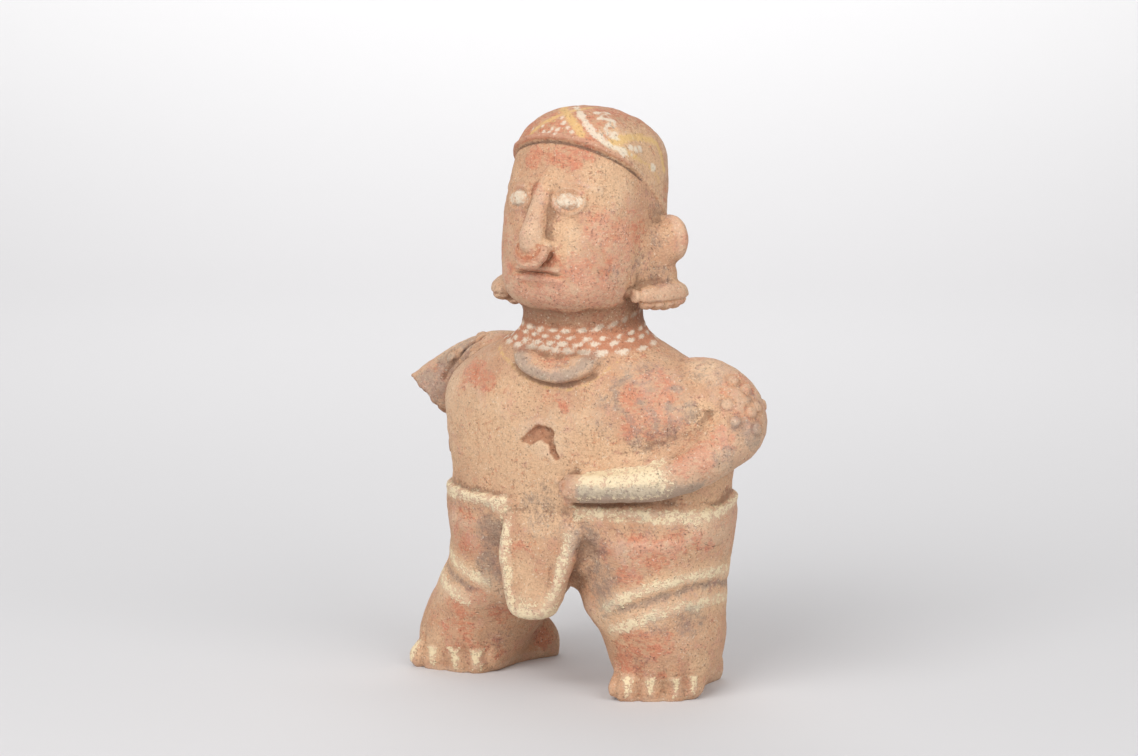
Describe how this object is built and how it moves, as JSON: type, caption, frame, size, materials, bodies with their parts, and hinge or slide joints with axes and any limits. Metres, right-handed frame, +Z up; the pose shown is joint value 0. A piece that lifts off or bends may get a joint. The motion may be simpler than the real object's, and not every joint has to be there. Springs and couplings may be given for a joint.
{
  "type": "clay male figure",
  "caption": "Standing man of fired clay, hand-built and hollow, with cap, nose ring, ear rolls, necklace and hip wrap; one arm bent to the belly, both hands broken off.",
  "frame": {"origin": "centre of the figure's box, on the plane of its soles", "axes": "+Z up; the figure faces -Y; its left side is towards +X"},
  "size_m": [0.3118, 0.1468, 0.4208],
  "materials": {
    "fired_clay": "low-fired buff clay with worn red slip, cream, yellow and white paint, matt"
  },
  "bodies": {
    "root": {"clay_figure": "fired_clay"}
  },
  "joints": []
}
